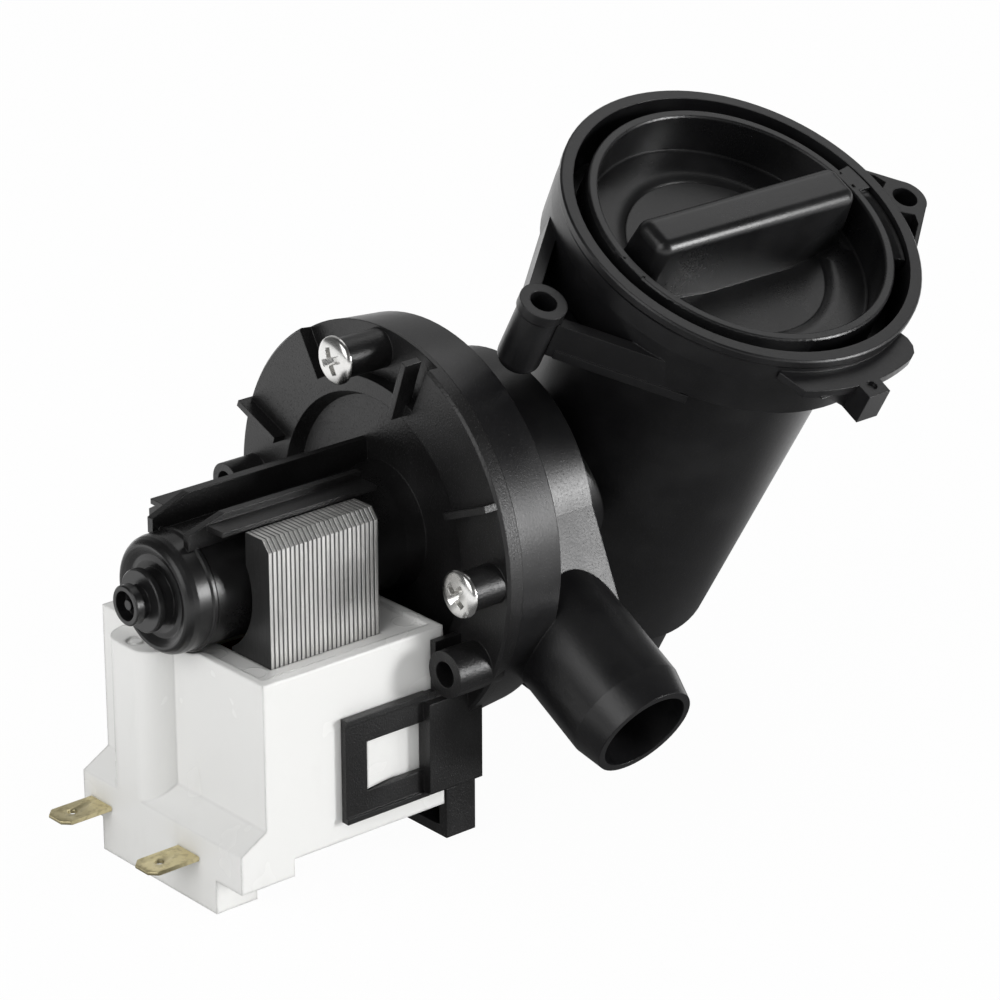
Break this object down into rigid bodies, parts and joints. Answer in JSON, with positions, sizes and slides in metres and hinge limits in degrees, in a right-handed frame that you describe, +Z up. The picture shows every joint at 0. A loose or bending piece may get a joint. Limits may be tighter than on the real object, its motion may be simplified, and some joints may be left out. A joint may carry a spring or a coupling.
{
  "type": "washer drain pump",
  "caption": "Washing machine drain pump: a synchronous motor with exposed laminations and white coil case on a black housing with angled filter tube, screw cap and hose spigots.",
  "frame": {"origin": "midway between the two fixing lug holes, in the plane of the lug faces", "axes": "+X runs along the motor axis from the motor to the filter tube, +Z is up with the pump standing on its coil case, +Y points away from the side the outlet leaves on"},
  "size_m": [0.1725, 0.1026, 0.1241],
  "materials": {
    "housing_black": "fine moulded satin",
    "cap_black": "fine moulded satin",
    "flange_black": "glass-filled, finely grained",
    "filter_grey": "moulded",
    "rubber_black": "moulded",
    "seal_rubber": "moulded",
    "impeller_black": "moulded",
    "natural_plastic": "moulded",
    "shaft_steel": "ground",
    "magnet_ferrite": "ground ferrite",
    "bearing_carbon": "turned carbon",
    "core_steel": "stacked sheet edges",
    "case_white": "smooth moulded",
    "winding_copper": "enamelled wire",
    "terminal_brass": "pale rolled strip",
    "screw_zinc": "bright zinc"
  },
  "bodies": {
    "base": {"filter_housing": "housing_black", "rear_bearing": "bearing_carbon", "rear_bearing_mount": "rubber_black", "front_bearing": "bearing_carbon", "front_bearing_mount": "rubber_black", "bearing_cover": "impeller_black", "shaft_seal": "seal_rubber", "motor_flange": "flange_black", "flange_seal": "rubber_black", "flange_screws": "screw_zinc", "laminated_core": "core_steel", "coil_case": "case_white", "coil_bobbin_near": "natural_plastic", "coil_bobbin_far": "natural_plastic", "coil_winding_near": "winding_copper", "coil_winding_far": "winding_copper", "spade_terminal_near": "terminal_brass", "spade_terminal_far": "terminal_brass"},
    "rotor": {"rotor_shaft": "shaft_steel", "rotor_magnet": "magnet_ferrite", "rotor_carrier": "natural_plastic", "thrust_washers": "natural_plastic", "drive_dog": "natural_plastic"},
    "impeller": {"impeller": "impeller_black", "impeller_hub_cover": "impeller_black"},
    "seal_ring": {"cap_seal": "rubber_black"},
    "cap": {"filter_cap": "cap_black", "lint_filter": "filter_grey"}
  },
  "joints": [
    {"name": "rotor_spin", "type": "hinge", "parent": "base", "child": "rotor", "pos_m": [-0.064, 0.02569, -0.04578], "axis": [1, 0, 0], "continuous": true},
    {"name": "impeller_slip", "type": "hinge", "parent": "rotor", "child": "impeller", "pos_m": [-0.064, 0.02569, -0.04578], "axis": [1, 0, 0], "range_deg": [-125, 125]},
    {"name": "cap_lift", "type": "slide", "parent": "base", "child": "seal_ring", "axis": [0, -0.4894, 0.8721], "range_m": [0, 0.0028]},
    {"name": "cap_turn", "type": "hinge", "parent": "seal_ring", "child": "cap", "pos_m": [0, 0, 0], "axis": [0, -0.4894, 0.8721], "range_deg": [0, 100]}
  ],
  "couplings": [
    {"joint": "cap_lift", "follows": "cap_turn", "m_per_rad": 0.0015915}
  ]
}
